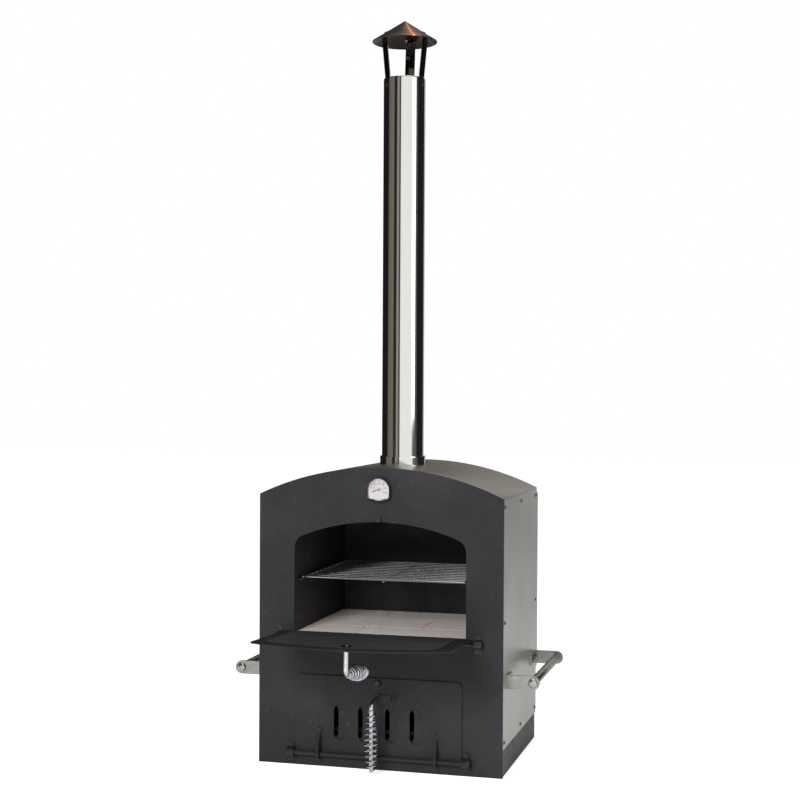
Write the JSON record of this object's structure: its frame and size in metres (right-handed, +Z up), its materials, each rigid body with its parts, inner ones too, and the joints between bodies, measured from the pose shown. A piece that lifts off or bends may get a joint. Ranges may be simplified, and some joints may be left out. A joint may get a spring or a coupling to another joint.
{
  "type": "wood fired pizza oven",
  "caption": "Arched steel oven with a stone hearth and wire rack over a firebox, drop-down doors with coil grips, air shutter, carrying bars and a capped chimney.",
  "frame": {"origin": "centre of the underside of the base, in the middle of the casing's footprint", "axes": "+Z up along the chimney, -Y towards the doors, +X to the right seen from the front"},
  "size_m": [0.58, 0.6045, 1.397],
  "materials": {
    "textured_black": "charcoal powder coat with a fine hammered texture",
    "satin_steel": "satin stainless sheet",
    "mirror_steel": "mirror polished stainless tube",
    "dark_base": "dark brown grey baked coat",
    "tinted_cap": "glossy dark bronze heat tint",
    "bright_wire": "bright plated wire",
    "bright_bar": "zinc bright steel bar",
    "steel_screws": "plain steel screws",
    "black_screws": "black oxide bolts",
    "sooted_liner": "matte heat proof black with soot",
    "firebrick": "fine grained refractory tile, pale pinkish grey with specks",
    "iron_grate": "raw cast iron",
    "mineral_wool": "compressed mineral wool",
    "gauge_black": "semi gloss black",
    "gauge_face": "white enamel dial",
    "gauge_red": "red enamel",
    "gauge_glass": "clear glass"
  },
  "bodies": {
    "oven": {"base_tray": "dark_base", "front_panel": "textured_black", "left_side_panel": "satin_steel", "right_side_panel": "satin_steel", "roof_sheet": "satin_steel", "rear_panel": "satin_steel", "rear_cover": "satin_steel", "left_liner": "sooted_liner", "right_liner": "sooted_liner", "rear_liner": "sooted_liner", "crown_liner": "sooted_liner", "wall_insulation": "mineral_wool", "crown_insulation": "mineral_wool", "firebox_floor": "sooted_liner", "liner_ledges": "sooted_liner", "rack_rails": "sooted_liner", "hearth_shelf": "sooted_liner", "hearth_tiles": "firebrick", "fire_grate": "iron_grate", "ash_pan": "sooted_liner", "flue_collar": "mirror_steel", "chimney_pipe": "mirror_steel", "cap_cone": "tinted_cap", "cap_straps": "mirror_steel", "cap_rivets": "tinted_cap", "thermometer_case": "gauge_black", "thermometer_dial": "gauge_face", "thermometer_lens": "gauge_glass", "thermometer_stem": "steel_screws", "upper_hinge_saddles": "black_screws", "lower_hinge_saddles": "black_screws", "saddle_bolts": "black_screws", "catch_studs": "black_screws", "carry_brackets": "bright_bar", "carry_bars": "bright_bar", "bar_screws": "steel_screws", "bracket_bolts": "steel_screws", "casing_screws": "steel_screws"},
    "rack": {"cooking_rack": "bright_wire"},
    "needle": {"thermometer_needle": "gauge_red"},
    "upper_door": {"upper_door_skin": "textured_black", "upper_door_liner": "sooted_liner", "upper_door_ribs": "textured_black", "upper_hinge_rod": "black_screws"},
    "upper_handle": {"upper_handle_rod": "bright_wire", "upper_handle_grip": "bright_wire", "upper_latch_lever": "textured_black", "upper_handle_ring": "steel_screws"},
    "lower_door": {"lower_door_skin": "textured_black", "lower_door_ribs": "textured_black", "lower_rib_bolts": "black_screws", "lower_hinge_rod": "black_screws", "shutter_guides": "sooted_liner"},
    "lower_handle": {"lower_handle_rod": "bright_wire", "lower_handle_grip": "bright_wire", "lower_latch_lever": "textured_black", "lower_handle_ring": "steel_screws"},
    "air_shutter": {"air_shutter": "textured_black"}
  },
  "joints": [
    {"name": "upper_door_hinge", "type": "hinge", "parent": "oven", "child": "upper_door", "pos_m": [0, -0.181, 0.238], "axis": [-1, 0, 0], "range_deg": [0, 87.5]},
    {"name": "upper_handle_turn", "type": "hinge", "parent": "upper_door", "child": "upper_handle", "pos_m": [0, -0.37132, 0.24631], "axis": [0, -0.0436, -0.999], "range_deg": [0, 90]},
    {"name": "lower_door_hinge", "type": "hinge", "parent": "oven", "child": "lower_door", "pos_m": [0, -0.181, 0.025], "axis": [1, 0, 0], "range_deg": [0, 90]},
    {"name": "lower_handle_turn", "type": "hinge", "parent": "lower_door", "child": "lower_handle", "pos_m": [0, -0.181, 0.131], "axis": [0, -1, 0], "range_deg": [0, 90]},
    {"name": "air_shutter_slide", "type": "slide", "parent": "lower_door", "child": "air_shutter", "axis": [1, 0, 0], "range_m": [-0.008, 0.015]},
    {"name": "rack_slide", "type": "slide", "parent": "oven", "child": "rack", "axis": [0, -1, 0], "range_m": [0, 0.012]},
    {"name": "needle_turn", "type": "hinge", "parent": "oven", "child": "needle", "pos_m": [0, -0.1735, 0.5105], "axis": [0, 1, 0], "range_deg": [0, 216]}
  ]
}
